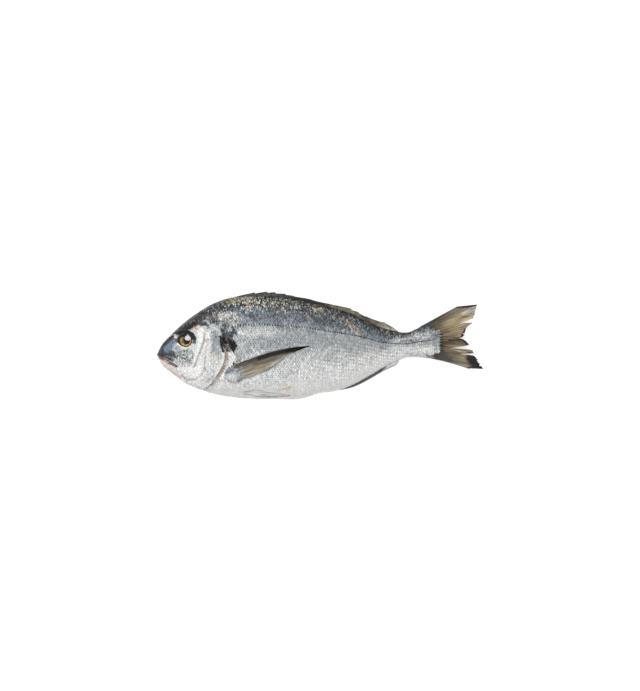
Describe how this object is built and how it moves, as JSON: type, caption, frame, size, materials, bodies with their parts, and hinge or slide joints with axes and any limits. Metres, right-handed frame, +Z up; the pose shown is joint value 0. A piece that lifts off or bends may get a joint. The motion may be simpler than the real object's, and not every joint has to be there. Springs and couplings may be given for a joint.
{
  "type": "sea bream",
  "caption": "Whole raw sea bream lying on its side, with folded fins, a forked tail, a gill cover and a pressed flat resting spot.",
  "frame": {"origin": "middle of the object's box, on the table that the right flank rests on", "axes": "+X along the fish from snout to tail, +Y towards the back and dorsal fin, +Z up out of the left flank"},
  "size_m": [0.3006, 0.0986, 0.0428],
  "materials": {
    "silver_skin": "wet silver scales, slate back, satin gloss"
  },
  "bodies": {
    "root": {"sea_bream": "silver_skin"}
  },
  "joints": []
}
